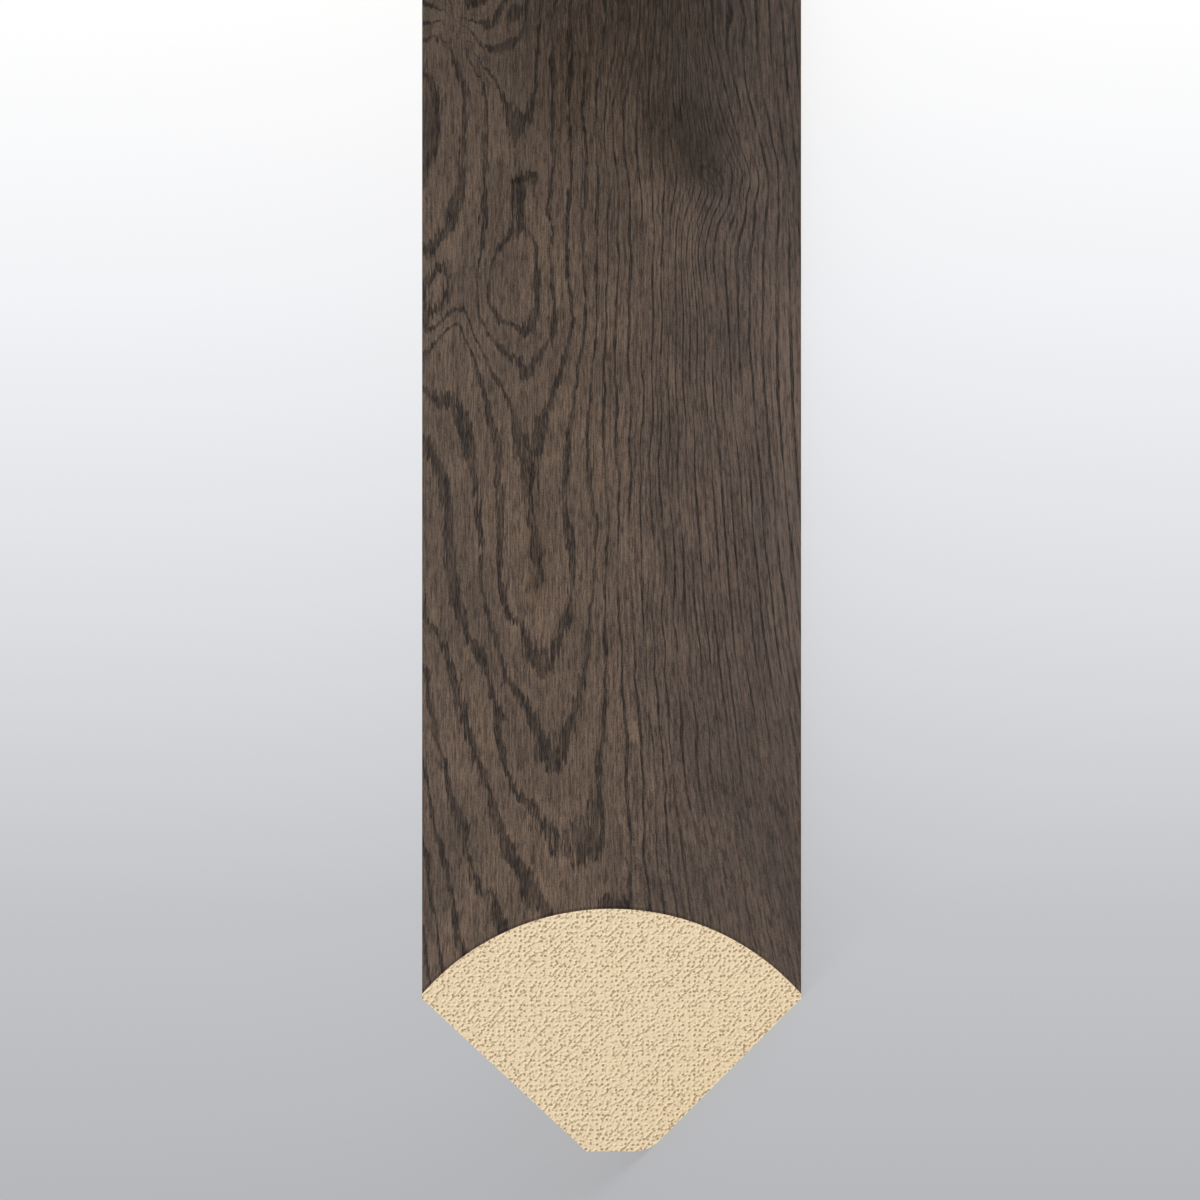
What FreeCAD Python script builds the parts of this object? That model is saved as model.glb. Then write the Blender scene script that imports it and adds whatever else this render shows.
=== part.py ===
# Quarter round moulding: a stick of trim that covers the joint between a floor and a wall.
# A fibreboard core gives the section its two flat legs, and a thin wood veneer is wrapped over
# the round face from one corner to the other. The veneer stops at the corners, so the legs are bare.
#
# The stick lies on its floor leg. X runs along its length, the wall leg looks to +Y, and the round
# face looks up and out to -Y. The origin is under the middle of its bounding box. Millimetres.
#
# The section is drawn about the edge where the floor and the wall would meet: the floor leg lies on
# the sketch's horizontal axis and the wall leg on its vertical axis. The heel, planed off so that the
# stick seats in a corner that isn't clean, lies parallel to the chord from one corner to the other.
import FreeCAD
import Part
import Sketcher

import math
import os

# Driving sizes: name, value and what it is
SIZES = [
    ("stock_length", 914.4, "length the stick is sold in, 36 in"),
    ("wall_leg", 19.05, "height of the leg against the wall, from the floor's plane"),
    ("floor_leg", 18.35, "width of the leg on the floor, from the wall's plane"),
    ("face_rise", 6.15, "how far the core's round face stands above its corners"),
    ("corner_edge", 0.34, "blunt edge of the core at each corner"),
    ("heel_cut", 2.18, "how deep the heel is planed off, from the virtual edge"),
    ("heel_round", 2.5, "radius where the heel meets the floor leg"),
    ("veneer_thickness", 0.2, "thickness of the veneer"),
]

# Places on a sketch's geometry, as the sketcher numbers them
START, END, CENTRE = range(1, 4)
X_AXIS, Y_AXIS = -1, -2
ORIGIN = (-1, 1)

# Sizes that follow from the driving ones
CHORD = "sqrt(Sizes.wall_leg ^ 2 + Sizes.floor_leg ^ 2)"
CORE_RADIUS = f"({CHORD} ^ 2 / 4 + Sizes.face_rise ^ 2) / (2 * Sizes.face_rise)"
FACE_RADIUS = f"{CORE_RADIUS} + Sizes.veneer_thickness"

# How far the face's centre lies from the wall's plane
CENTRE_DEPTH = (
    f"Sizes.floor_leg / 2"
    f" + Sizes.wall_leg / {CHORD} * (Sizes.corner_edge + Sizes.face_rise - {CORE_RADIUS})"
)


class Section:
    """Where the section's points lie, worked out from the sheet, for the sketches to start from."""

    def __init__(self, sheet):
        wall_leg, floor_leg = sheet.wall_leg, sheet.floor_leg
        self.floor_tip = FreeCAD.Vector(-floor_leg, 0, 0)
        self.wall_tip = FreeCAD.Vector(0, wall_leg, 0)
        chord = self.wall_tip - self.floor_tip
        self.outward = FreeCAD.Vector(-wall_leg, floor_leg, 0) / chord.Length
        self.floor_corner = self.floor_tip + self.outward * sheet.corner_edge
        self.wall_corner = self.wall_tip + self.outward * sheet.corner_edge

        half = chord.Length / 2
        self.radius = (half**2 + sheet.face_rise**2) / (2 * sheet.face_rise)
        middle = (self.floor_corner + self.wall_corner) / 2
        self.centre = middle + self.outward * (sheet.face_rise - self.radius)

        # The heel's line cuts the floor's and the wall's plane, then its floor end is rounded.
        heel_height = wall_leg * floor_leg / chord.Length
        kept = sheet.heel_cut / heel_height
        self.heel_wall = self.wall_tip * kept
        heel_floor = self.floor_tip * kept
        turn = math.atan2(wall_leg, floor_leg)
        run = sheet.heel_round * math.tan(turn / 2)
        self.round_floor = heel_floor - FreeCAD.Vector(run, 0, 0)
        self.round_heel = heel_floor + chord / chord.Length * run
        self.round_centre = self.round_floor + FreeCAD.Vector(0, sheet.heel_round, 0)
        self.round_radius = sheet.heel_round


def make_sheet(doc):
    """The spreadsheet that holds the driving sizes."""
    sheet = doc.addObject("Spreadsheet::Sheet", "Sizes")
    for row, (name, value, note) in enumerate(SIZES, start=1):
        sheet.set(f"A{row}", name)
        sheet.set(f"B{row}", str(value))
        sheet.set(f"C{row}", note)
        sheet.setAlias(f"B{row}", name)
    doc.recompute()
    return sheet


def make_body(doc, name):
    """A body that stands in the part's frame, with the stick's section centred across its depth."""
    body = doc.addObject("PartDesign::Body", name)
    body.Label = name
    body.setExpression("Placement.Base.y", f"({FACE_RADIUS} + {CENTRE_DEPTH}) / 2")
    return body


def make_sketch(body, name):
    """A sketch across the stick: its horizontal axis is +Y and its vertical axis is +Z."""
    across = next(f for f in body.Origin.OriginFeatures if f.Role == "YZ_Plane")
    sketch = body.newObject("Sketcher::SketchObject", name)
    sketch.AttachmentSupport = [(across, "")]
    sketch.MapMode = "FlatFace"
    return sketch


def add_line(sketch, start, end, construction=False):
    return sketch.addGeometry(Part.LineSegment(start, end), construction)


def add_arc(sketch, centre, radius, start, end):
    """An arc that turns anticlockwise from start to end."""
    circle = Part.Circle(centre, FreeCAD.Vector(0, 0, 1), radius)
    angles = [math.atan2(p.y - centre.y, p.x - centre.x) for p in (start, end)]
    return sketch.addGeometry(Part.ArcOfCircle(circle, *angles), False)


def tie(sketch, kind, *places):
    return sketch.addConstraint(Sketcher.Constraint(kind, *places))


def bind(sketch, name, expression, kind, *places):
    """A named dimension whose value follows the sheet."""
    index = tie(sketch, kind, *places)
    sketch.renameConstraint(index, name)
    sketch.setExpression(f"Constraints.{name}", expression)


def tie_corners(sketch, floor_edge, wall_edge, chord):
    """Both corners' blunt edges rise square to the chord, from where the legs end."""
    tie(sketch, "Coincident", chord, START, floor_edge, START)
    tie(sketch, "Coincident", chord, END, wall_edge, START)
    tie(sketch, "PointOnObject", floor_edge, START, X_AXIS)
    tie(sketch, "PointOnObject", wall_edge, START, Y_AXIS)
    tie(sketch, "Perpendicular", floor_edge, chord)
    tie(sketch, "Perpendicular", wall_edge, chord)
    floor_leg = sketch.getPoint(floor_edge, START).x
    wall_leg = sketch.getPoint(wall_edge, START).y
    bind(sketch, "floor_leg", "Sizes.floor_leg", "DistanceX", floor_edge, START, *ORIGIN, -floor_leg)
    bind(sketch, "wall_leg", "Sizes.wall_leg", "DistanceY", *ORIGIN, wall_edge, START, wall_leg)
    edge = sketch.getPoint(floor_edge, END).distanceToPoint(sketch.getPoint(floor_edge, START))
    bind(sketch, "floor_edge", "Sizes.corner_edge", "Distance", floor_edge, edge)
    bind(sketch, "wall_edge", "Sizes.corner_edge", "Distance", wall_edge, edge)


def sketch_core(body, section):
    """The core's whole outline: two legs, two blunt corners, the round face and the planed heel."""
    sketch = make_sketch(body, "core_section")
    chord = add_line(sketch, section.floor_tip, section.wall_tip, construction=True)
    floor_edge = add_line(sketch, section.floor_tip, section.floor_corner)
    wall_edge = add_line(sketch, section.wall_tip, section.wall_corner)
    tie_corners(sketch, floor_edge, wall_edge, chord)

    face = add_arc(sketch, section.centre, section.radius, section.wall_corner, section.floor_corner)
    tie(sketch, "Coincident", face, START, wall_edge, END)
    tie(sketch, "Coincident", face, END, floor_edge, END)
    bind(sketch, "core_radius", CORE_RADIUS, "Radius", face, section.radius)

    floor_leg = add_line(sketch, section.round_floor, section.floor_tip)
    wall_leg = add_line(sketch, section.wall_tip, section.heel_wall)
    heel = add_line(sketch, section.heel_wall, section.round_heel)
    heel_round = add_arc(
        sketch, section.round_centre, section.round_radius, section.round_floor, section.round_heel
    )
    tie(sketch, "Coincident", floor_leg, END, floor_edge, START)
    tie(sketch, "Horizontal", floor_leg)
    tie(sketch, "Coincident", wall_leg, START, wall_edge, START)
    tie(sketch, "Vertical", wall_leg)
    tie(sketch, "Coincident", heel, START, wall_leg, END)
    tie(sketch, "Parallel", heel, chord)
    tie(sketch, "Tangent", heel_round, START, floor_leg, START)
    tie(sketch, "Tangent", heel_round, END, heel, END)
    bind(sketch, "heel_round", "Sizes.heel_round", "Radius", heel_round, section.round_radius)
    heel_cut = section.heel_wall.dot(section.outward)
    bind(sketch, "heel_cut", "Sizes.heel_cut", "Distance", *ORIGIN, heel, heel_cut)
    return sketch


def sketch_veneer(body, section, thickness):
    """The veneer's strip: it lies on the core's round face and ends flush with the corners' edges."""
    sketch = make_sketch(body, "veneer_section")
    chord = add_line(sketch, section.floor_tip, section.wall_tip, construction=True)
    floor_edge = add_line(sketch, section.floor_tip, section.floor_corner, construction=True)
    wall_edge = add_line(sketch, section.wall_tip, section.wall_corner, construction=True)
    tie_corners(sketch, floor_edge, wall_edge, chord)

    back = add_arc(sketch, section.centre, section.radius, section.wall_corner, section.floor_corner)
    tie(sketch, "Coincident", back, START, wall_edge, END)
    tie(sketch, "Coincident", back, END, floor_edge, END)
    bind(sketch, "core_radius", CORE_RADIUS, "Radius", back, section.radius)

    # The outer face is a wider arc about the same centre, cut off in line with the corners' edges.
    radius = section.radius + thickness
    half = (section.wall_corner - section.floor_corner).Length / 2
    top = section.centre + section.outward * math.sqrt(radius**2 - half**2)
    along = (section.wall_corner - section.floor_corner) / 2
    floor_top, wall_top = top - along, top + along
    face = add_arc(sketch, section.centre, radius, wall_top, floor_top)
    floor_end = add_line(sketch, section.floor_corner, floor_top)
    wall_end = add_line(sketch, section.wall_corner, wall_top)
    tie(sketch, "Coincident", face, CENTRE, back, CENTRE)
    tie(sketch, "Coincident", floor_end, START, back, END)
    tie(sketch, "Coincident", floor_end, END, face, END)
    tie(sketch, "Coincident", wall_end, START, back, START)
    tie(sketch, "Coincident", wall_end, END, face, START)
    tie(sketch, "Parallel", floor_end, floor_edge)
    tie(sketch, "Parallel", wall_end, wall_edge)
    bind(sketch, "face_radius", FACE_RADIUS, "Radius", face, radius)
    return sketch


def extrude(body, sketch):
    """The section drawn out to the stick's length, half of it each way from the sketch."""
    pad = body.newObject("PartDesign::Pad", f"{body.Label}_length")
    pad.Profile = sketch
    pad.SideType = "Symmetric"
    pad.setExpression("Length", "Sizes.stock_length")
    sketch.Visibility = False


def make_core(doc, section):
    body = make_body(doc, "fibreboard_core")
    extrude(body, sketch_core(body, section))
    return body


def make_veneer(doc, section, thickness):
    body = make_body(doc, "face_veneer")
    extrude(body, sketch_veneer(body, section, thickness))
    return body


def check(doc, bodies):
    """Stops if anything failed to build, if a sketch is loose, or if a body isn't one sound solid."""
    for item in doc.Objects:
        if "Invalid" in item.State or "Error" in item.State:
            raise RuntimeError(f"{item.Label} did not build: {item.State}")
        if item.isDerivedFrom("Sketcher::SketchObject") and not item.FullyConstrained:
            raise RuntimeError(f"{item.Label} is not fully constrained")
    for body in bodies:
        shape = body.Shape
        if shape.isNull() or not shape.isValid() or len(shape.Solids) != 1:
            raise RuntimeError(f"{body.Label} is not one valid solid")


def main():
    doc = FreeCAD.newDocument("quarter_round")
    sheet = make_sheet(doc)
    section = Section(sheet)
    bodies = [make_core(doc, section), make_veneer(doc, section, sheet.veneer_thickness)]
    doc.recompute()
    check(doc, bodies)

    os.makedirs("parts", exist_ok=True)
    for body in bodies:
        body.Shape.exportStep(f"parts/{body.Label}.step")


main()
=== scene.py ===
import math

import bmesh
import bpy
import numpy as np
from mathutils import Matrix, Vector


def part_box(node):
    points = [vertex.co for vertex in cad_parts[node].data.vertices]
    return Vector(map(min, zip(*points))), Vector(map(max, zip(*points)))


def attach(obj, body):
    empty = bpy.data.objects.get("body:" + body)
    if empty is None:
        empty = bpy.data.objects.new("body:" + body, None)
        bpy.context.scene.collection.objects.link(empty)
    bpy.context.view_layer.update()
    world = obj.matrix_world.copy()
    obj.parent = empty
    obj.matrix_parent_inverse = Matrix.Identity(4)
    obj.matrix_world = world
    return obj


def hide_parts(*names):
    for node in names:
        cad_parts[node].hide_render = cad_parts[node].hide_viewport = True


MM = 0.001

# The section, as the CAD source draws it
WALL_LEG = 19.05
FLOOR_LEG = 18.35
FACE_RISE = 6.15
CORNER_EDGE = 0.34
HEEL_CUT = 2.18
HEEL_ROUND = 2.5
VENEER = 0.2

# How finely the pieces are meshed
FACE_STEPS = 48
HEEL_STEPS = 10
STATION = 2.0
BAKE_ROWS = 5
HIDDEN_SHARE = 0.08
MAP_GAP = 0.6

# The camera looks down the stick from this far above its length, square to the chord of its face
CAMERA_RISE = math.radians(15)
FRAME_WIDTH = 83.77
CHORD_RIGHT = 0.81
CHORD_BELOW = 27.83
CAMERA_BACK = 1500.0

# The floor fades from white to grey over these heights in the picture, counted from the frame's origin
FLOOR_SIZE = 12000.0
FADE_BOTTOM = -127.0
FADE_TOP = -42.0
FLOOR_GLOW = 0.78


class Section:
    """The stick's section as points (y, z), in the row frame."""

    def __init__(self, wall):
        chord = Vector((FLOOR_LEG, WALL_LEG))
        self.along = chord.normalized()
        self.outward = Vector((-WALL_LEG, FLOOR_LEG)).normalized()
        self.floor_tip = Vector((wall - FLOOR_LEG, 0))
        self.wall_tip = Vector((wall, WALL_LEG))
        self.half = chord.length / 2
        self.radius = (self.half**2 + FACE_RISE**2) / (2 * FACE_RISE)
        self.middle = (self.floor_tip + self.wall_tip) / 2
        self.centre = self.middle + self.outward * (CORNER_EDGE + FACE_RISE - self.radius)
        kept = HEEL_CUT / (WALL_LEG * FLOOR_LEG / chord.length)
        turn = math.atan2(WALL_LEG, FLOOR_LEG)
        run = HEEL_ROUND * math.tan(turn / 2)
        self.heel_wall = Vector((wall, WALL_LEG * kept))
        self.heel_floor = Vector((wall - FLOOR_LEG * kept, 0))
        self.round_centre = self.heel_floor + Vector((-run, HEEL_ROUND))
        self.heel_turn = turn

    def across(self, point):
        """How far a point lies from the chord's middle towards the floor corner."""
        return -(point - self.middle).dot(self.along)

    def face(self, radius):
        """Points on an arc over the core's round face, from the wall corner to the floor corner."""
        reach = math.asin(self.half / radius)
        turns = np.linspace(reach, -reach, FACE_STEPS + 1)
        return [self.centre + radius * (math.sin(t) * self.along + math.cos(t) * self.outward) for t in turns]

    def heel(self):
        """Points round the heel's corner, from the floor leg to the heel's flat."""
        turns = np.linspace(0, self.heel_turn, HEEL_STEPS + 1)
        return [self.round_centre + HEEL_ROUND * Vector((math.sin(t), -math.cos(t))) for t in turns]

    def core(self):
        """The core's outline, and whether the stretch after each point is hidden by the veneer."""
        face = self.face(self.radius)
        points = [self.wall_tip, *face, self.floor_tip, *self.heel(), self.heel_wall]
        hidden = [0 < i <= FACE_STEPS for i in range(len(points))]
        return points, hidden

    def veneer(self):
        """The veneer's outline: out along its face and back along the core."""
        face = self.face(self.radius + VENEER)
        back = self.face(self.radius)[::-1]
        hidden = [i > FACE_STEPS and i < 2 * FACE_STEPS + 1 for i in range(len(face) + len(back))]
        return face + back, hidden


def stations(low, high):
    """Places along the stick, in as many equal steps as the bake rows can share."""
    steps = BAKE_ROWS * round((high - low) / MM / STATION / BAKE_ROWS)
    return np.linspace(low, high, steps + 1)


def sweep(name, outline, places, caps):
    """A closed mesh: the outline repeated along X, with the caps' faces, by outline point, at both ends."""
    count = len(outline)
    mesh = bpy.data.meshes.new(name)
    points = [(x, p.x * MM, p.y * MM) for x in places for p in outline]
    faces = []
    for j in range(len(places) - 1):
        for i in range(count):
            after = (i + 1) % count
            faces.append((j * count + i, j * count + after, (j + 1) * count + after, (j + 1) * count + i))
    last = (len(places) - 1) * count
    faces += [cap for cap in caps]
    faces += [tuple(last + i for i in reversed(cap)) for cap in caps]
    mesh.from_pydata(points, [], faces)
    tidy = bmesh.new()
    tidy.from_mesh(mesh)
    bmesh.ops.recalc_face_normals(tidy, faces=tidy.faces)
    tidy.to_mesh(mesh)
    tidy.free()
    mesh.polygons.foreach_set("use_smooth", [True] * len(mesh.polygons))
    mesh.set_sharp_from_angle(angle=math.radians(20))
    piece = bpy.data.objects.new(name, mesh)
    bpy.context.scene.collection.objects.link(piece)
    return piece


def lay_out(mesh, outline, hidden, places, cap_faces):
    """A bake map: the sides in rows of equal length, one beside the next, and the end faces beside them."""
    count = len(outline)
    edges = [(outline[(i + 1) % count] - outline[i]).length for i in range(count)]
    widths = [e * (HIDDEN_SHARE if hide else 1) for e, hide in zip(edges, hidden)]
    starts = np.concatenate([[0], np.cumsum(widths)])
    row_steps = (len(places) - 1) // BAKE_ROWS
    row_length = (places[row_steps] - places[0]) / MM
    row_width = starts[-1] + MAP_GAP
    low = Vector((min(p.x for p in outline), min(p.y for p in outline)))
    size = Vector((max(p.x for p in outline), max(p.y for p in outline))) - low
    wide = row_length + size.x + 3 * MAP_GAP
    side = max(wide, BAKE_ROWS * row_width + MAP_GAP, 2 * (size.y + MAP_GAP))
    layer = mesh.uv_layers.new(name="OFBake")
    side_faces = (len(places) - 1) * count
    for face in mesh.polygons:
        corners = zip(face.loop_indices, face.vertices)
        if face.index < side_faces:
            j, i = divmod(face.index, count)
            row, step = divmod(j, row_steps)
            for loop, vertex in corners:
                jv, iv = divmod(vertex, count)
                x = (places[jv] - places[row * row_steps]) / MM
                s = starts[i] if iv == i else starts[i + 1]
                layer.uv[loop].vector = (
                    (MAP_GAP + x) / side,
                    (MAP_GAP + row * row_width + s) / side,
                )
        else:
            far = face.index >= side_faces + cap_faces
            for loop, vertex in corners:
                p = outline[vertex % count] - low
                layer.uv[loop].vector = (
                    (row_length + 2 * MAP_GAP + p.x) / side,
                    (MAP_GAP + p.y + far * (size.y + MAP_GAP)) / side,
                )


# Growth rings of the veneer

# Ring lines read off the photo, as (across, along): across from the middle of the face towards
# the floor corner, and along from the near end. Rings are numbered from the first pointed arch out.
RINGS = {
    -5: [(-10.3, 255.3), (-9.8, 254.4), (-9.3, 253.3), (-9.0, 254.6)],
    -4: [(-10.6, 252.6), (-9.9, 250.2), (-9.4, 248.3), (-8.8, 246.3), (-8.3, 245.5), (-7.9, 247), (-7.7, 250)],
    -3: [
        (-10.9, 252.4), (-10.2, 249.4), (-9.7, 246.8), (-9.4, 243.5), (-9.0, 241), (-8.5, 239.5), (-7.9, 238.7),
        (-7.3, 238.8), (-6.7, 239.2), (-6.2, 240.5), (-6.0, 244),
    ],
    -2.4: [(-6.8, 172), (-6.3, 221.5), (-6.4, 228)],
    -2: [
        (-11.2, 253), (-10.7, 249.5), (-10.2, 245.5), (-9.7, 241), (-9.2, 236.5), (-8.6, 233), (-8.1, 230.5),
        (-7.8, 227), (-7.45, 222.5), (-7.2, 219), (-6.9, 215.5), (-6.5, 214.5), (-6.0, 215), (-5.7, 217.5),
        (-5.4, 222), (-5.15, 227), (-5.1, 234), (-5.0, 241),
        (-6.5, 200), (-6.5, 195), (-6.5, 190), (-6.9, 186.5), (-7.6, 185.5), (-8.1, 183.2), (-8.55, 180.5),
        (-8.6, 176), (-8.65, 172), (-8.35, 168.5), (-8.0, 165.5), (-7.4, 163.5), (-6.9, 162), (-6.5, 160),
        (-6.1, 158.7), (-5.6, 159), (-5.3, 162), (-5.2, 167), (-5.1, 173), (-5.15, 178), (-5.3, 181.5),
        (-5.7, 184.5), (-6.1, 187),
    ],
    -1.7: [(-6.5, 207), (-7.3, 195), (-5.7, 192)],
    -1: [
        (-13.0, 259.5), (-12.3, 257.5), (-11.6, 254.8), (-11.0, 251.2), (-10.5, 247.5), (-9.95, 243), (-9.6, 238),
        (-9.15, 233.5), (-8.85, 229), (-8.75, 222), (-8.85, 213), (-8.75, 205), (-8.85, 196), (-8.95, 189),
        (-9.25, 183), (-9.4, 177), (-9.3, 170), (-9.0, 166.5), (-8.7, 163.5), (-8.3, 160.5), (-7.9, 158.5),
        (-7.4, 156), (-7.0, 154), (-6.6, 152), (-6.4, 149), (-6.1, 146.7), (-5.6, 148.5), (-5.1, 150.3),
        (-4.7, 153), (-4.3, 155), (-4.0, 158), (-4.0, 163), (-4.2, 170), (-4.3, 178), (-4.2, 184), (-4.35, 189),
        (-4.2, 196), (-4.1, 204), (-4.05, 213), (-4.1, 221), (-4.2, 230), (-4.3, 239),
    ],
    -0.35: [(-12.3, 193.6), (-10.9, 186), (-12.2, 177)],
    0: [
        (-13.1, 255.5), (-12.5, 254), (-12.0, 251.3), (-11.6, 248.5), (-11.1, 244), (-10.8, 239.5), (-10.4, 234.5),
        (-10.3, 228), (-10.35, 221), (-10.5, 214), (-10.5, 208), (-10.9, 203.5), (-11.2, 200), (-11.7, 197.6),
        (-12.4, 196.7), (-13.1, 199),
        (-13.1, 188.7), (-12.3, 190.5), (-11.7, 188.5), (-11.4, 185), (-11.5, 181), (-12.2, 179.3), (-12.7, 181),
        (-13.1, 184), (-12.0, 175), (-10.9, 175), (-10.2, 172.5), (-9.8, 167), (-9.4, 162), (-8.9, 157.5),
        (-8.5, 153), (-8.1, 149.5), (-7.5, 145.5), (-7.1, 141), (-6.85, 136), (-6.5, 131), (-6.2, 126),
        (-5.85, 121), (-5.35, 126), (-5.0, 129.7),
        (-4.5, 135.5), (-4.0, 140.5), (-3.6, 145), (-3.2, 149.5), (-2.9, 154), (-2.65, 159), (-2.85, 165),
        (-3.05, 172), (-3.15, 180), (-3.1, 187), (-2.9, 193), (-2.75, 200), (-2.85, 208), (-3.0, 218), (-2.7, 232),
    ],
    0.3: [(-12.3, 185), (-6.15, 104), (-4.5, 104), (-5.8, 93), (-4.15, 93), (-4.85, 85)],
    0.06: [(-5.55, 115), (-5.4, 105), (-5.2, 97), (-4.9, 90.5)],
    1: [
        (-12.9, 244.5), (-12.5, 241), (-12.2, 236), (-12.15, 230), (-12.3, 225), (-12.85, 220.5),
        (-13.1, 171.5), (-12.6, 170), (-11.9, 171.6), (-11.2, 171.6), (-10.6, 170), (-10.2, 166.3), (-9.8, 161.5),
        (-9.4, 156.5), (-9.05, 151.5), (-8.8, 146), (-8.5, 139), (-8.15, 133), (-7.95, 126), (-7.75, 118),
        (-7.7, 110), (-7.8, 103), (-7.85, 95), (-7.4, 87), (-6.9, 83), (-6.3, 80), (-5.9, 74), (-5.2, 69.5),
        (-4.6, 67.3), (-3.9, 70), (-3.4, 74.5), (-3.0, 80), (-2.8, 87), (-2.7, 95), (-2.9, 102), (-3.35, 107),
        (-3.45, 113), (-3.2, 119), (-3.05, 125), (-2.85, 131), (-2.6, 138), (-2.4, 144), (-2.2, 149), (-1.95, 154),
        (-1.8, 161), (-1.85, 168), (-2.0, 175), (-2.05, 182), (-1.85, 190), (-1.75, 200), (-1.85, 207), (-2.05, 214),
    ],
    1.5: [(-12.8, 166), (-11.8, 162.5), (-10.9, 160), (-10.3, 153)],
    2: [
        (-13.1, 160.5), (-12.6, 157.5), (-12.2, 155), (-11.7, 153), (-11.1, 151.5), (-10.8, 146.5), (-10.35, 142.5),
        (-9.95, 138), (-9.65, 132), (-9.5, 126), (-9.35, 118), (-9.2, 111), (-9.05, 104), (-9.05, 97), (-8.75, 90),
        (-8.4, 84), (-8.1, 79), (-7.75, 73.5), (-7.45, 68), (-6.9, 65), (-6.45, 61.5), (-6.0, 58), (-5.5, 53.5),
        (-5.1, 49), (-4.8, 44), (-4.4, 41), (-3.7, 42.5), (-3.1, 48), (-2.5, 52.5), (-2.2, 59.5), (-1.8, 64.5),
        (-1.6, 71), (-1.45, 79), (-1.25, 86), (-1.1, 94), (-1.05, 101), (-1.2, 108), (-1.5, 115), (-1.65, 124),
        (-1.6, 133), (-1.4, 142), (-1.2, 150), (-1.05, 158), (-1.0, 178), (-0.95, 190), (-1.0, 203), (-0.9, 225),
    ],
    3: [
        (-13.1, 147), (-12.8, 143.5), (-12.4, 139), (-12.0, 134.5), (-11.7, 129), (-11.5, 121), (-11.35, 112),
        (-11.15, 104), (-10.9, 97), (-10.45, 91), (-10.1, 85), (-9.5, 80.5), (-8.95, 75), (-8.5, 69), (-8.1, 62),
        (-7.9, 55), (-7.6, 47), (-7.3, 42), (-6.9, 37), (-6.2, 33.5), (-5.6, 30.5), (-5.1, 26.5), (-4.6, 23),
        (-4.0, 20.8), (-3.4, 19), (-2.6, 20.5), (-2.1, 17.5), (-1.75, 14), (-1.35, 17), (-1.1, 22), (-0.9, 30),
        (-0.75, 40), (-0.55, 50), (-0.45, 62), (-0.5, 74), (-0.5, 86), (-0.35, 96), (-0.2, 105), (-0.35, 113),
        (-0.5, 121), (-0.55, 131), (-0.45, 140), (-0.35, 152), (-0.4, 160), (-0.35, 168), (-0.3, 183), (-0.25, 197),
        (-0.4, 215),
    ],
    3.5: [(-3.4, 7), (-1.2, 6)],
    4: [
        (-13.0, 99), (-12.5, 94.5), (-12.0, 90), (-11.5, 83.5), (-11.15, 76.5), (-10.75, 71), (-10.4, 65),
        (-10.0, 58.5), (-9.6, 52), (-9.1, 46.5), (-8.6, 41), (-8.2, 35), (-7.9, 29.5), (-7.5, 24), (-7.0, 19),
        (-6.5, 15), (-5.9, 10), (-5.4, 5.5), (-4.8, 2), (-4.2, -2), (-0.6, -1), (0.1, 2.5), (0.8, 0),
        (1.45, 2), (1.3, 11), (1.35, 18), (1.2, 26), (1.05, 35), (1.1, 45), (0.9, 55), (0.75, 62), (0.75, 70),
        (0.5, 78), (0.35, 87), (0.45, 96), (0.45, 108), (0.35, 120), (0.3, 131), (0.2, 141), (0.15, 152),
        (0.3, 164), (0.35, 182), (0.1, 205), (0.0, 215),
    ],
    5: [
        (-13.0, 84), (-12.7, 76), (-12.4, 68.5), (-12.05, 61.5), (-11.7, 55.5), (-11.45, 49), (-11.1, 42),
        (-10.5, 35.5), (-10.2, 29.5), (-9.9, 23), (-9.55, 17.5), (-9.1, 13), (-8.6, 12.5), (-8.2, 7.5), (-7.7, 1.5),
        (2.6, 4), (2.2, 16), (2.15, 30), (2.1, 42), (1.8, 54), (1.6, 62), (1.55, 72), (1.4, 83), (1.2, 92),
        (1.2, 100), (1.45, 118), (1.4, 132), (1.2, 152), (1.25, 165), (1.25, 180), (1.0, 200), (0.85, 214),
    ],
    6: [
        (-13.1, 60), (-12.8, 52), (-12.5, 44), (-12.15, 36.5), (-11.75, 31), (-11.4, 25.5), (-11.15, 18),
        (-10.9, 10.5), (-10.6, 4), (-10.4, 0), (3.6, 3), (3.3, 10), (3.15, 20), (3.2, 32), (3.0, 44), (2.65, 56),
        (2.4, 66), (2.3, 75), (2.15, 85), (2.1, 96), (2.0, 108), (2.0, 125), (2.3, 140), (2.15, 155), (2.2, 175),
        (2.1, 190), (1.75, 214),
    ],
    7: [
        (-12.95, 35), (-12.75, 27), (-12.5, 19), (-12.2, 11), (-11.95, 3), (4.5, 3), (4.1, 11), (3.85, 20),
        (3.7, 30), (3.6, 40), (3.25, 54), (3.0, 64), (2.9, 76), (3.05, 90), (2.9, 103), (2.6, 120), (2.85, 140),
        (2.95, 160), (3.0, 182), (2.75, 200), (2.7, 212), (2.9, 232),
    ],
    8: [(-13.0, 13), (-12.75, 2), (5.4, 4), (5.1, 14), (4.7, 25), (4.4, 34), (4.0, 47), (3.7, 64), (3.45, 80)],
    10: [
        (8.0, 6), (7.0, 26), (6.0, 52), (5.45, 74), (5.05, 95), (4.7, 130), (4.5, 180), (4.7, 190), (5.2, 197),
        (4.5, 213), (4.3, 230), (4.3, 247),
    ],
    13: [
        (10.2, 8), (9.0, 32), (8.2, 52), (7.5, 73), (7.0, 92), (6.4, 123), (5.95, 148), (5.6, 180), (6.1, 190),
        (6.7, 197), (5.9, 213), (5.5, 228), (5.1, 246),
    ],
    16: [
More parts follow.
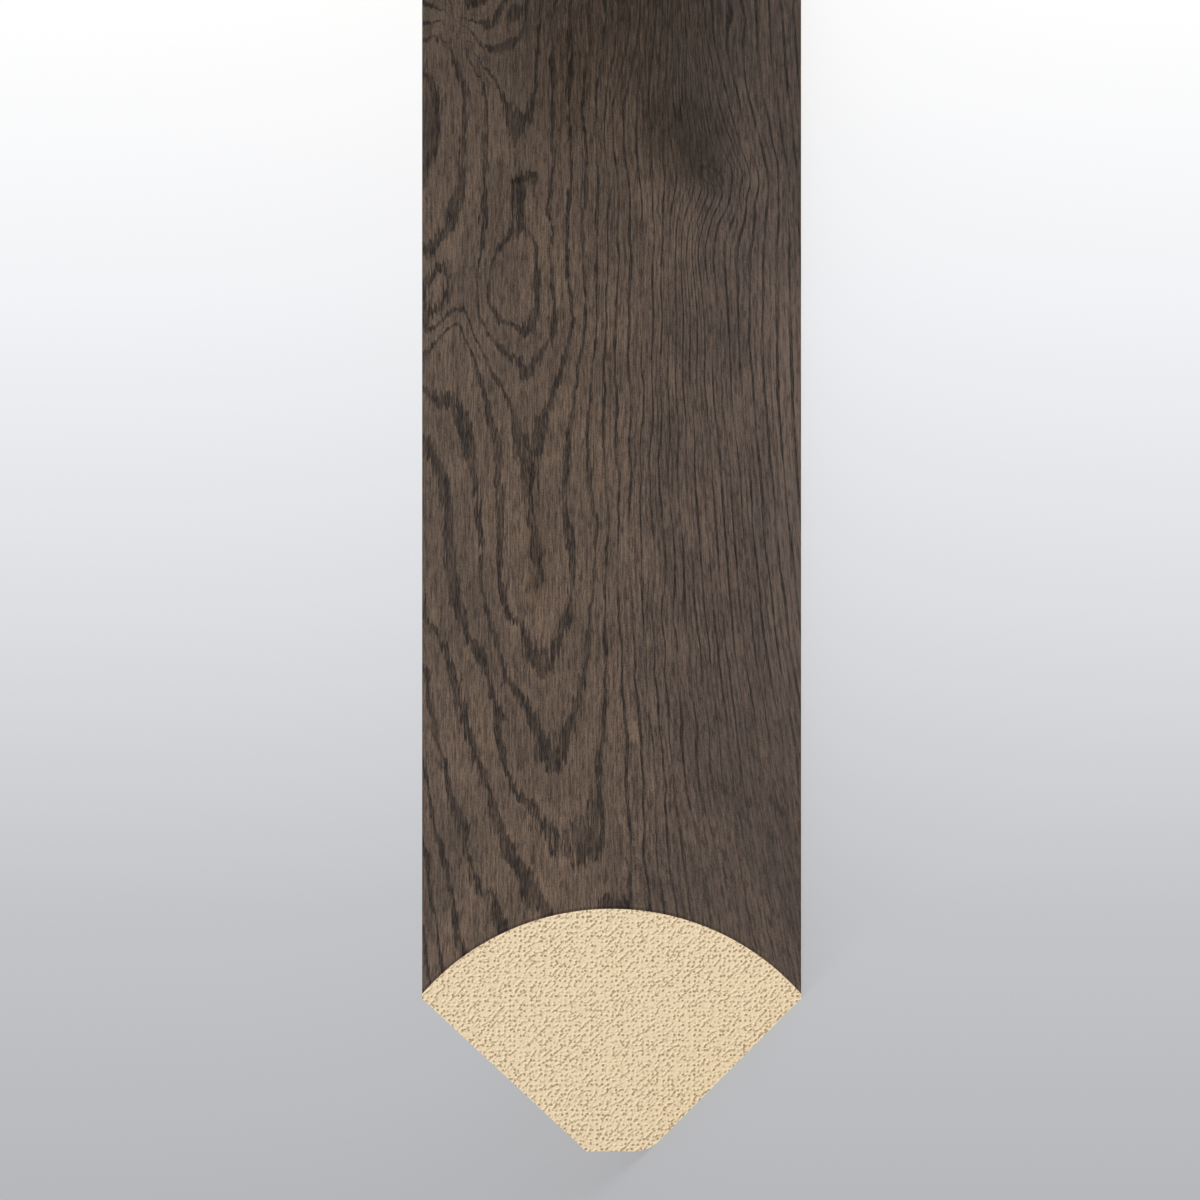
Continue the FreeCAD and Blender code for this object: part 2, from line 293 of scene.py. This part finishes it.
        (12.1, 10), (11.0, 34), (10.2, 54), (9.4, 75), (8.9, 93), (8.35, 122), (7.8, 140), (7.1, 180), (7.5, 191),
        (8.3, 200), (7.6, 212), (6.7, 226), (5.9, 249),
    ],
    17: [(7.9, 180), (8.2, 190), (8.9, 199), (9.2, 206), (8.4, 214)],
    18: [(8.8, 175), (9.0, 190), (9.5, 203), (9.0, 214), (7.9, 228), (7.1, 240), (6.95, 252)],
    19: [
        (13.0, 60), (12.1, 77), (11.3, 93), (10.7, 112), (10.2, 135), (9.9, 150), (9.6, 170), (9.7, 188),
        (10.0, 201), (9.8, 214), (8.8, 228), (8.4, 250),
    ],
    20: [
        (12.2, 98), (11.5, 118), (11.0, 138), (10.5, 162), (10.6, 180), (10.7, 195), (10.8, 213), (10.0, 223),
        (9.5, 229), (9.2, 240), (8.95, 254),
    ],
    21: [
        (12.6, 116), (12.0, 138), (11.6, 165), (11.55, 186), (11.7, 203), (11.6, 217), (11.0, 226), (10.4, 235),
        (10.2, 244), (10.1, 256),
    ],
    22: [(12.95, 138), (12.6, 158), (12.45, 180), (12.3, 206), (12.0, 222), (11.4, 238), (11.0, 257)],
}
SMOOTHING = 0.01
SHRINK_ALONG = 0.22
TRACED_TO = 262.0
FREE_FROM = 310.0

# Places where a ring's line is broad: (across, along, half width, half length, extra half breadth in rings)
BROAD = [
    (-5.9, 9, 0.9, 9, 0.17),
    (-7.2, 21, 0.5, 6, 0.13),
    (-9.2, 78, 0.6, 8, 0.14),
    (-2.9, 50, 0.6, 6, 0.05),
    (-1.2, 24, 0.5, 7, -0.04),
    (-5.0, 27, 0.9, 8, 0.06),
    (-3.4, 20, 1.4, 3, -0.03),
    (-6.9, 62, 0.5, 6, 0.12),
    (-7.8, 52, 0.4, 9, 0.07),
    (-10.2, 139, 0.6, 10, 0.19),
    (-8.0, 120, 0.5, 16, 0.14),
    (-7.6, 105, 0.4, 8, 0.12),
    (-11.4, 118, 0.4, 12, 0.08),
    (-10.8, 99, 0.5, 6, 0.08),
    (-6.5, 131, 0.4, 6, 0.10),
    (-2.9, 97, 0.4, 9, 0.08),
    (-11.0, 203, 0.5, 4, 0.12),
    (-6.5, 218, 0.8, 4.5, 0.10),
    (-11.8, 250, 1.5, 7, -0.06),
    (-7.3, 186, 0.7, 3.5, -0.05),
    (-7.05, 191.0, 0.4, 4.0, -0.12),
    (-11.6, 153, 0.6, 3, 0.06),
    (-12.0, 31, 0.5, 6, 0.10),
    (-8.7, 173, 0.3, 4, 0.08),
    (-10.3, 227, 0.3, 8, 0.06),
]

# Places where the lines fade into specks: (across, along, half width, half length, how far)
FADED = [
    (10.0, 14, 5.2, 36, 0.65),
    (11.8, 58, 2.2, 24, 0.4),
    (2.2, 238, 5.2, 26, 0.25),
    (5.4, 207, 2.6, 8, 0.7),
    (-2.15, 21, 0.5, 6, 0.55),
]

# Darker clouds in the stain: (across, along, half width, half length, depth). The first two darken the face
# towards the far end of what shows, partly as stain and partly as painted shade where the light falls off.
CLOUDS = [
    (0.0, 268, 30.0, 74, 0.34),
    (1.5, 266, 8.0, 62, 0.50),
    (4.7, 209.5, 2.9, 13, 0.32),
    (7.7, 217, 1.6, 5, 0.22),
    (-3.3, 222, 1.9, 18, 0.22),
    (-6.5, 192, 3.5, 13, 0.10),
    (6.6, 204.0, 1.9, 6.5, 0.22),
    (7.0, 90, 4.0, 130, 0.12),
    (11.2, 46, 2.3, 17, 0.14),
    (8.6, 164, 0.9, 13, 0.14),
    (9.2, 104, 0.9, 15, 0.14),
    (10.2, 70, 0.9, 12, 0.12),
    (7.8, 38, 1.6, 5, 0.12),
    (-5.4, 108, 0.55, 20, 0.42),
    (-5.0, 92, 0.45, 8, 0.3),
    (-12.85, 232, 0.65, 12, 0.5),
    (12.4, 234, 1.7, 36, 0.16),
    (1.5, 158, 6.5, 42, 0.10),
]

# Dark marks too small for the mesh to carry, such as the hook above the closed ring
SPOTS = [
    (-6.4, 193.0, 0.42, 5.7, 0.18),
    (-6.1, 200.7, 0.92, 1.2, 0.62),
    (-5.48, 199.7, 0.34, 1.9, 0.55),
    (-6.93, 197, 0.13, 5.0, 0.45),
    (-5.45, 195.6, 0.12, 1.4, 0.45),
    (6.5, 203.6, 0.4, 0.6, 0.2),
    (-3.6, 161, 0.5, 2.2, 0.35),
    (-9.9, 175, 0.6, 2.0, 0.2),
    (-6.8, 246, 0.6, 2.6, 0.35),
    (-9.3, 254.4, 0.5, 1.6, 0.35),
]


def log_rings(across, along):
    """Ring numbers of a long board: arches whose axis wanders, and whose heart rises and dips."""
    axis = -3.2 - 4.2 * np.sin(np.pi * along / 480)
    heart = -1.0 + 5.0 * np.cos(np.pi * along / 300)
    side = across - axis
    return heart + 0.3 * side + 0.95 * (np.sqrt(side**2 + 2.0) - 1.4)


def kernel(gap):
    """The thin plate spline's kernel, of squared distances."""
    return gap * np.log(gap + 1e-12)


def traced_rings(across, along):
    """How far the rings read off the photo lie from those of the plain board, as a smooth surface."""
    known = np.array([(a, b, ring) for ring, line in RINGS.items() for a, b in line], float)
    spots = known[:, :2] * (1, SHRINK_ALONG)
    lift = known[:, 2] - log_rings(known[:, 0], known[:, 1])
    gaps = ((spots[:, None] - spots[None]) ** 2).sum(2)
    plane = np.column_stack([np.ones(len(spots)), spots])
    system = np.block([[kernel(gaps) + SMOOTHING * np.eye(len(spots)), plane], [plane.T, np.zeros((3, 3))]])
    answer = np.linalg.solve(system, np.concatenate([lift, np.zeros(3)]))
    places = np.column_stack([across, along * SHRINK_ALONG])
    found = np.zeros(len(places))
    for start in range(0, len(places), 4096):
        part = places[start:start + 4096]
        near = kernel(((part[:, None] - spots[None]) ** 2).sum(2))
        found[start:start + 4096] = near @ answer[:-3] + answer[-3] + part @ answer[-2:]
    return found


def ring_numbers(across, along):
    """The ring number at each place: traced where the photo shows the face, free beyond it."""
    fade = np.clip((FREE_FROM - along) / (FREE_FROM - TRACED_TO), 0, 1)
    fade = fade * fade * (3 - 2 * fade)
    return log_rings(across, along) + fade * traced_rings(across, np.minimum(along, FREE_FROM))


def spread(marks, across, along):
    """How strongly a list of soft-edged oval marks shows at each place."""
    total = np.zeros(len(across))
    for a, b, half_width, half_length, amount in marks:
        total += amount * np.exp(-((((across - a) / half_width) ** 2 + ((along - b) / half_length) ** 2) ** 2))
    return total


def store(mesh, name, values):
    """Keeps three numbers for each vertex, under a name that the veneer's material reads."""
    layer = mesh.attributes.new(name, "FLOAT_VECTOR", "POINT")
    layer.data.foreach_set("vector", np.column_stack(values).astype(np.float32).ravel())


def store_grain(mesh, section, near):
    """Stores each vertex's place on the face and its ring number, and how stained (with painted shade towards the far
    end) and broad-lined it is there.
    """
    points = np.empty(len(mesh.vertices) * 3, np.float32)
    mesh.vertices.foreach_get("co", points)
    points = points.reshape(-1, 3) / MM
    across = -(points[:, 1:] - np.array(section.middle)) @ np.array(section.along)
    along = points[:, 0] - near / MM
    store(mesh, "grain", (across, along, ring_numbers(across, along)))
    store(mesh, "marks", [spread(marks, across, along) for marks in (CLOUDS, BROAD, FADED)])


# Materials

def colour(red, green, blue):
    """A colour written as a screen shows it, from 0 to 255, as the linear values that a shader takes."""
    return tuple(((c / 255 + 0.055) / 1.055) ** 2.4 if c > 10 else c / 255 / 12.92 for c in (red, green, blue)) + (1,)


class Nodes:
    """A new material, and short calls that each add a node to it and give back an output."""

    def __init__(self, name):
        self.material = bpy.data.materials.new(name)
        self.material.use_nodes = True
        self.tree = self.material.node_tree
        self.tree.nodes.clear()

    def add(self, kind, settings, inputs):
        node = self.tree.nodes.new(kind)
        for key, value in settings.items():
            setattr(node, key, value)
        for key, value in inputs.items():
            if isinstance(value, bpy.types.NodeSocket):
                self.tree.links.new(value, node.inputs[key])
            else:
                node.inputs[key].default_value = value
        return node

    def math(self, operation, *values):
        return self.add("ShaderNodeMath", {"operation": operation}, dict(enumerate(values))).outputs[0]

    def scaled(self, vector, *factors):
        made = self.add("ShaderNodeVectorMath", {"operation": "MULTIPLY"}, {0: vector, 1: factors})
        return made.outputs[0]

    def moved(self, vector, *steps):
        return self.add("ShaderNodeVectorMath", {"operation": "ADD"}, {0: vector, 1: steps}).outputs[0]

    def noise(self, vector, detail=2.0, roughness=0.5):
        made = self.add(
            "ShaderNodeTexNoise", {}, {"Vector": vector, "Scale": 1.0, "Detail": detail, "Roughness": roughness}
        )
        return made.outputs["Fac"]

    def dot(self, vector, axis):
        return self.add("ShaderNodeVectorMath", {"operation": "DOT_PRODUCT"}, {0: vector, 1: axis}).outputs["Value"]

    def ramp(self, value, low, high, to_low=0.0, to_high=1.0, smooth=True):
        """value's place between low and high, as a number from to_low to to_high."""
        kind = "SMOOTHSTEP" if smooth else "LINEAR"
        names = {"Value": value, "From Min": low, "From Max": high, "To Min": to_low, "To Max": to_high}
        return self.add("ShaderNodeMapRange", {"interpolation_type": kind}, names).outputs[0]

    def blend(self, share, first, second, kind="MIX"):
        """first where share is 0 and second where it is 1."""
        made = self.add("ShaderNodeMix", {"data_type": "RGBA", "blend_type": kind}, {0: share, 6: first, 7: second})
        return made.outputs[2]

    def finish(self, base, roughness, height, depth, **constants):
        """A plain surface whose relief is height times depth, in metres."""
        bump = self.add("ShaderNodeBump", {}, {"Height": height, "Distance": depth, "Strength": 1.0}).outputs[0]
        inputs = {"Base Color": base, "Roughness": roughness, "Normal": bump, **constants}
        surface = self.add("ShaderNodeBsdfPrincipled", {}, inputs)
        self.add("ShaderNodeOutputMaterial", {}, {"Surface": surface.outputs[0]})
        return self.material


def oak_veneer():
    """Dark stained oak: porous ring lines, short pores along the grain, and a cloudy ground that darkens towards the
    far end, partly as stain and partly as painted shade.
    """
    n = Nodes("oak_veneer")
    grain = n.add("ShaderNodeAttribute", {"attribute_name": "grain"}, {}).outputs["Vector"]
    marks = n.add("ShaderNodeAttribute", {"attribute_name": "marks"}, {}).outputs["Vector"]
    across, along, ring = n.add("ShaderNodeSeparateXYZ", {}, {0: grain}).outputs
    stain_and_painted_shade, broad, faded = n.add("ShaderNodeSeparateXYZ", {}, {0: marks}).outputs
    arches = n.ramp(across, -2.0, 1.5, 1.0, 0.0)

    # Right of the middle the fibres fan out towards the near end, and what is drawn below follows them.
    fan = n.math("EXPONENT", n.math("MULTIPLY", along, -1 / 70))
    fan = n.math("MULTIPLY_ADD", fan, n.ramp(across, 0.0, 2.0, 0.0, 0.7), 1.0)
    place = n.add("ShaderNodeCombineXYZ", {}, {0: n.math("DIVIDE", across, fan), 1: along}).outputs[0]

    def field(per_mm, along_per_mm, detail=2.0, roughness=0.5):
        return n.noise(n.scaled(place, per_mm, along_per_mm, 0), detail, roughness)

    def drift(per_mm, along_per_mm, amount):
        """A number that strays either side of nothing."""
        return n.math("MULTIPLY", n.math("SUBTRACT", field(per_mm, along_per_mm), 0.5), amount)

    def oval(at, at_across, at_along, half_width, half_length):
        """How far a place lies from an oval's middle, where 1 is the oval's edge."""
        reach = n.scaled(n.moved(at, -at_across, -at_along, 0), 1 / half_width, 1 / half_length, 0)
        return n.add("ShaderNodeVectorMath", {"operation": "LENGTH"}, {0: reach}).outputs["Value"]

    # The ring number sways, and its line breaks into teeth along the grain.
    teeth = drift(5.0, 0.16, 1.0)
    ring = n.math("ADD", ring, drift(0.5, 0.05, 0.16))
    ring = n.math("MULTIPLY_ADD", drift(1.6, 0.14, 1.0), n.ramp(arches, 0, 1, 0.09, 0.18), ring)
    knot = oval(grain, 6.95, 202.3, 1.25, 3.9)
    ring = n.math("ADD", ring, n.ramp(knot, 0.0, 1.2, 0.9, 0.0))
    ring = n.math("MULTIPLY_ADD", teeth, n.ramp(arches, 0, 1, 0.17, 0.6), ring)

    # A line is a band of large pores, here broad and there thin, with fainter lines between the close rings.
    width = n.ramp(field(0.8, 0.05), 0.35, 0.65, 0.065, 0.135)
    width = n.math("MULTIPLY_ADD", width, n.ramp(arches, 0, 1, 0.9, 1.0), broad)
    off = n.math("ABSOLUTE", n.math("SUBTRACT", n.math("FRACT", n.math("ADD", ring, 0.5)), 0.5))
    line = n.ramp(n.math("SUBTRACT", width, off), -0.05, 0.025)
    broken = n.ramp(field(2.2, 0.04), 0.36, 0.54, 0.4, 1.0)
    line = n.math("MULTIPLY", line, n.math("MAXIMUM", broken, n.ramp(arches, 0, 1, 0.0, 0.7)))
    faint = n.ramp(n.math("SUBTRACT", 0.5, off), 0.05, 0.16, 1.0, 0.0)
    scarce = n.ramp(field(1.9, 0.05), 0.42, 0.58, 0.0, 0.85)
    faint = n.math("MULTIPLY", faint, n.math("MULTIPLY", scarce, n.ramp(arches, 0, 1, 0.6, 0.3)))
    line = n.math("MAXIMUM", line, faint)
    line = n.math("MULTIPLY", line, n.math("SUBTRACT", 1.0, faded))

    # Pores are short dark cuts, crowded in the lines and sparse between them.
    pores = n.ramp(n.math("MULTIPLY_ADD", line, 0.14, field(6.0, 0.22, 2.0, 0.6)), 0.52, 0.66)
    fibre = n.ramp(field(7.2, 0.08, 1.5, 0.6), 0.39, 0.61)
    hair = n.ramp(field(13.0, 0.34, 1.0), 0.41, 0.59)
    streak = n.ramp(field(1.8, 0.03), 0.35, 0.65)
    speck = n.ramp(field(10.0, 2.6, 1.0), 0.42, 0.58)
    cloud = n.ramp(field(0.22, 0.03, 3.0, 0.55), 0.36, 0.64)

    pale = n.blend(cloud, colour(106, 89, 75), colour(121, 101, 85))
    dull = n.blend(cloud, colour(52, 42, 36), colour(60, 48, 40))
    mixed = n.math("MULTIPLY_ADD", fibre, 0.31, n.math("MULTIPLY", streak, 0.13))
    mixed = n.math("MULTIPLY_ADD", hair, 0.28, mixed)
    mixed = n.math("MULTIPLY_ADD", speck, 0.3, mixed)
    base = n.blend(mixed, dull, pale)
    cool = n.ramp(across, -3.0, 9.0, 0.0, 0.18)
    base = n.blend(cool, base, colour(72, 68, 72))
    strip = n.math("MULTIPLY", n.ramp(across, 10.0, 12.6, 0.0, 0.13), n.ramp(along, 55.0, 95.0))
    strip = n.math("MULTIPLY", strip, n.ramp(along, 165.0, 205.0, 1.0, 0.0))
    base = n.blend(strip, base, colour(160, 138, 120))
    line = n.math("MULTIPLY", line, n.ramp(hair, 0, 1, 0.98, 0.68))
    shade = n.math("MAXIMUM", line, n.math("MULTIPLY", pores, 0.5))
    base = n.blend(shade, base, colour(37, 32, 30))
    whorl = n.math("MULTIPLY_ADD", n.math("SINE", n.math("MULTIPLY", knot, 13.0)), 0.5, 0.5)
    stain_and_painted_shade = n.math("MULTIPLY_ADD", whorl, n.ramp(knot, 0.7, 1.3, 0.22, 0.0), stain_and_painted_shade)
    torn = n.add("ShaderNodeCombineXYZ", {}, {0: across, 1: n.math("MULTIPLY_ADD", teeth, 3.5, along)}).outputs[0]
    for *where, depth in SPOTS:
        stain_and_painted_shade = n.math("ADD", stain_and_painted_shade, n.ramp(oval(torn, *where), 0.75, 1.15, depth, 0.0))
    ragged = n.math("MULTIPLY", stain_and_painted_shade, n.ramp(teeth, -0.15, 0.15, 0.8, 1.15))
    # Stain, with painted shade towards the far end, darkens the colour here
    base = n.blend(ragged, base, colour(135, 127, 114), "MULTIPLY")

    # The face is darker in a thin band along its two long edges and at the near end.
    edge = n.ramp(n.math("ABSOLUTE", across), 13.12, 13.2, 0.0, 0.3)
    end = n.ramp(along, 0.0, 0.2, 0.06, 0.0)
    base = n.blend(n.math("MAXIMUM", edge, end), base, colour(40, 34, 32))

    relief = n.math("SUBTRACT", n.math("MULTIPLY", fibre, 0.3), shade)
    rough = n.ramp(shade, 0, 1, 0.7, 0.85)
    return n.finish(base, rough, relief, 0.00002, **{"Specular IOR Level": 0.03})


def fibreboard():
    """Cream fibreboard, pitted and speckled as its sawn end shows, with painted shade in its pits and on its ridges'
    far sides and a painted highlight on their rims, and drawn out along its planed legs.
    """
    n = Nodes("fibreboard")
    place = n.add("ShaderNodeTexCoord", {}, {}).outputs["Object"]
    place = n.scaled(place, 1 / MM, 1 / MM, 1 / MM)
    right, up, _ = camera_axes()
    outward = Vector((0, up.y, up.z)).normalized()

    # On an end the pattern lies square to the chord. On a leg it runs along the stick.
    end_right = n.dot(place, right)
    end_up = n.dot(place, outward)
    leg_along = n.math("MULTIPLY", n.dot(place, Vector((1, 0, 0))), 0.4)
    leg_across = n.dot(place, Vector((0, 1, 1)))
    facing = n.add("ShaderNodeNewGeometry", {}, {}).outputs["True Normal"]
    at_end = n.math("GREATER_THAN", n.math("ABSOLUTE", n.dot(facing, Vector((1, 0, 0)))), 0.5)
    flat_end = n.add("ShaderNodeCombineXYZ", {}, {0: end_right, 1: end_up}).outputs[0]
    flat_leg = n.add("ShaderNodeCombineXYZ", {}, {0: leg_along, 1: leg_across}).outputs[0]
    place = n.add("ShaderNodeMix", {"data_type": "VECTOR"}, {0: at_end, 4: flat_leg, 5: flat_end}).outputs[1]

    def slanted(at):
        """Short ridges that slant up to the right."""
        up_right = n.math("MULTIPLY", n.dot(at, (1, 1, 0)), 1.35)
        up_left = n.math("MULTIPLY", n.dot(at, (-1, 1, 0)), 3.6)
        return n.noise(n.add("ShaderNodeCombineXYZ", {}, {0: up_right, 1: up_left}).outputs[0], 0.0)

    def beside(at):
        """The place a little down to the right, on the side away from the light."""
        return n.moved(at, 0.1, -0.1, 0)

    def pit_field_and_painted_shade(at):
        """Crowded small pits, painted shade on the steep sides of the slanted ridges that face away from the light,
        and a fine ripple.
        """
        cells = n.add("ShaderNodeTexVoronoi", {"voronoi_dimensions": "2D"}, {
            "Vector": at, "Scale": 2.8, "Randomness": 0.65,
        }).outputs
        deep = n.ramp(cells["Color"], 0.2, 0.8, 0.55, 0.98)
        pit_and_painted_shade = n.math("MULTIPLY", n.ramp(cells["Distance"], 0.08, 0.44, 1.0, 0.0), deep)
        steep = n.math("SUBTRACT", slanted(at), slanted(beside(at)))
        painted_ridge_shade = n.ramp(steep, 0.06, 0.36, 0.0, 0.75)
        rough = n.math("SUBTRACT", n.noise(n.scaled(at, 6.6, 6.6, 0), 1.0), 0.5)
        return n.math("MULTIPLY_ADD", rough, 1.8, n.math("MAXIMUM", pit_and_painted_shade, painted_ridge_shade))

    # A pit is dark, partly its own colour and partly painted shade, and its rim up to the left carries a painted
    # highlight, the way a raking light shows it.
    pit_and_painted_shade = pit_field_and_painted_shade(place)
    painted_rim_highlight = n.math("SUBTRACT", pit_field_and_painted_shade(beside(place)), pit_and_painted_shade)
    depth = n.ramp(at_end, 0, 1, 0.4, 1.0)
    cloud = n.ramp(n.noise(n.scaled(place, 0.6, 0.6, 0), 2.0), 0.35, 0.65)
    base = n.blend(cloud, colour(239, 216, 179), colour(242, 219, 182))
    # Painted highlight along the rims, up to the left of the pits
    base = n.blend(n.math("MULTIPLY", n.ramp(painted_rim_highlight, 0.0, 0.8), depth), base, colour(254, 235, 201))
    # The pits' dark colour, with painted shade on the ridges' far sides
    base = n.blend(n.math("MULTIPLY", n.ramp(pit_and_painted_shade, 0.1, 1.1), depth), base, colour(168, 142, 103))
    return n.finish(base, 0.85, pit_and_painted_shade, -0.00003, **{"Specular IOR Level": 0.2})


def floor_finish():
    """A pale floor that fades from white to light grey the way the picture's background does."""
    n = Nodes("floor")
    place = n.add("ShaderNodeTexCoord", {}, {}).outputs["Object"]
    up = camera_axes()[1]
    height = n.add("ShaderNodeVectorMath", {"operation": "DOT_PRODUCT"}, {0: place, 1: up / MM}).outputs["Value"]
    share = n.ramp(height, FADE_BOTTOM, FADE_TOP, smooth=False)
    ramp = n.add("ShaderNodeValToRGB", {}, {0: share})
    shades = [(0.0, colour(181, 182, 186)), (0.25, colour(195, 196, 199)), (0.5, colour(221, 222, 226)),
              (0.75, colour(241, 242, 245)), (1.0, colour(255, 255, 255))]
    stops = ramp.color_ramp.elements
    stops[0].position, stops[0].color = shades[0]
    stops[1].position, stops[1].color = shades[-1]
    for position, shade in shades[1:-1]:
        stops.new(position).color = shade
    plain = n.add("ShaderNodeBsdfDiffuse", {}, {"Color": ramp.outputs[0]}).outputs[0]
    bright = n.add("ShaderNodeEmission", {}, {"Color": ramp.outputs[0], "Strength": 1.0}).outputs[0]
    ray = n.add("ShaderNodeLightPath", {}, {}).outputs
    mirrored = n.math("MAXIMUM", ray["Is Glossy Ray"], ray["Is Transmission Ray"])
    share = n.math("MULTIPLY", n.math("MAXIMUM", ray["Is Camera Ray"], mirrored), FLOOR_GLOW)
    surface = n.add("ShaderNodeMixShader", {}, {0: share, 1: plain, 2: bright})
    n.add("ShaderNodeOutputMaterial", {}, {"Surface": surface.outputs[0]})
    return n.material


# Stage

def camera_axes():
    """The camera's right, up and back, in the row frame."""
    outward = Vector((0, -WALL_LEG, FLOOR_LEG)).normalized()
    length = Vector((1, 0, 0))
    up = outward * math.cos(CAMERA_RISE) + length * math.sin(CAMERA_RISE)
    back = outward * math.sin(CAMERA_RISE) - length * math.cos(CAMERA_RISE)
    return up.cross(back), up, back


def add_camera(section, near):
    right, up, back = camera_axes()
    chord = Vector((near, section.middle.x * MM, section.middle.y * MM))
    aim = chord - right * CHORD_RIGHT * MM + up * CHORD_BELOW * MM
    data = bpy.data.cameras.new("camera")
    data.type = "ORTHO"
    data.ortho_scale = FRAME_WIDTH * MM
    data.clip_start, data.clip_end = 0.01, 100.0
    camera = bpy.data.objects.new("camera", data)
    turn = Matrix((right, up, back)).transposed()
    camera.matrix_world = Matrix.Translation(aim + back * CAMERA_BACK * MM) @ turn.to_4x4()
    bpy.context.scene.collection.objects.link(camera)
    bpy.context.scene.camera = camera


def add_floor():
    half = FLOOR_SIZE / 2 * MM
    mesh = bpy.data.meshes.new("floor")
    mesh.from_pydata([(-half, -half, 0), (half, -half, 0), (half, half, 0), (-half, half, 0)], [], [(0, 1, 2, 3)])
    mesh.materials.append(floor_finish())
    floor = bpy.data.objects.new("floor", mesh)
    bpy.context.scene.collection.objects.link(floor)


def add_lights(section, near):
    """A bright even room, and one broad lamp above the near end that models the round face."""
    world = bpy.data.worlds.new("studio")
    world.use_nodes = True
    sky = world.node_tree.nodes["Background"]
    sky.inputs["Color"].default_value = (1, 1, 1, 1)
    sky.inputs["Strength"].default_value = 0.87
    bpy.context.scene.world = world
    lamp = bpy.data.lights.new("key", "SUN")
    lamp.energy = 1.1
    lamp.angle = math.radians(40)
    key = bpy.data.objects.new("key", lamp)
    outward = Vector((0, -WALL_LEG, FLOOR_LEG)).normalized()
    towards = outward * math.sin(math.radians(50)) - Vector((1, 0, 0)) * math.cos(math.radians(50))
    key.rotation_mode = "QUATERNION"
    key.rotation_quaternion = towards.to_track_quat("Z", "Y")
    bpy.context.scene.collection.objects.link(key)
    bpy.context.scene.view_settings.view_transform = "Standard"


def add_core(section, places):
    outline, hidden = section.core()
    piece = sweep("core_body", outline, places, [tuple(range(len(outline)))])
    lay_out(piece.data, outline, hidden, places, 1)
    piece.data.materials.append(fibreboard())
    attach(piece, "root")
    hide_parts("fibreboard_core")


def add_veneer(section, places):
    outline, hidden = section.veneer()
    last = len(outline) - 1
    caps = [(i, last - i, last - i - 1, i + 1) for i in range(FACE_STEPS)]
    piece = sweep("veneer_skin", outline, places, caps)
    lay_out(piece.data, outline, hidden, places, len(caps))
    store_grain(piece.data, section, places[0])
    piece.data.materials.append(oak_veneer())
    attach(piece, "root")
    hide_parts("face_veneer")


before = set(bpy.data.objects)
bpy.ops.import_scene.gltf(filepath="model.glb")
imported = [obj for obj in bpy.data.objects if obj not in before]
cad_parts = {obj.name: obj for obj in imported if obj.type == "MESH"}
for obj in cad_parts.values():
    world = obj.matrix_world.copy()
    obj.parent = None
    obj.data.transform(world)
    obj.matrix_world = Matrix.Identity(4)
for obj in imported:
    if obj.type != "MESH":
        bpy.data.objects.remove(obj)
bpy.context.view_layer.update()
low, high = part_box("fibreboard_core")
section = Section(high.y / MM)
places = stations(low.x, high.x)
add_camera(section, low.x)
add_core(section, places)
add_veneer(section, places)
add_floor()
add_lights(section, low.x)
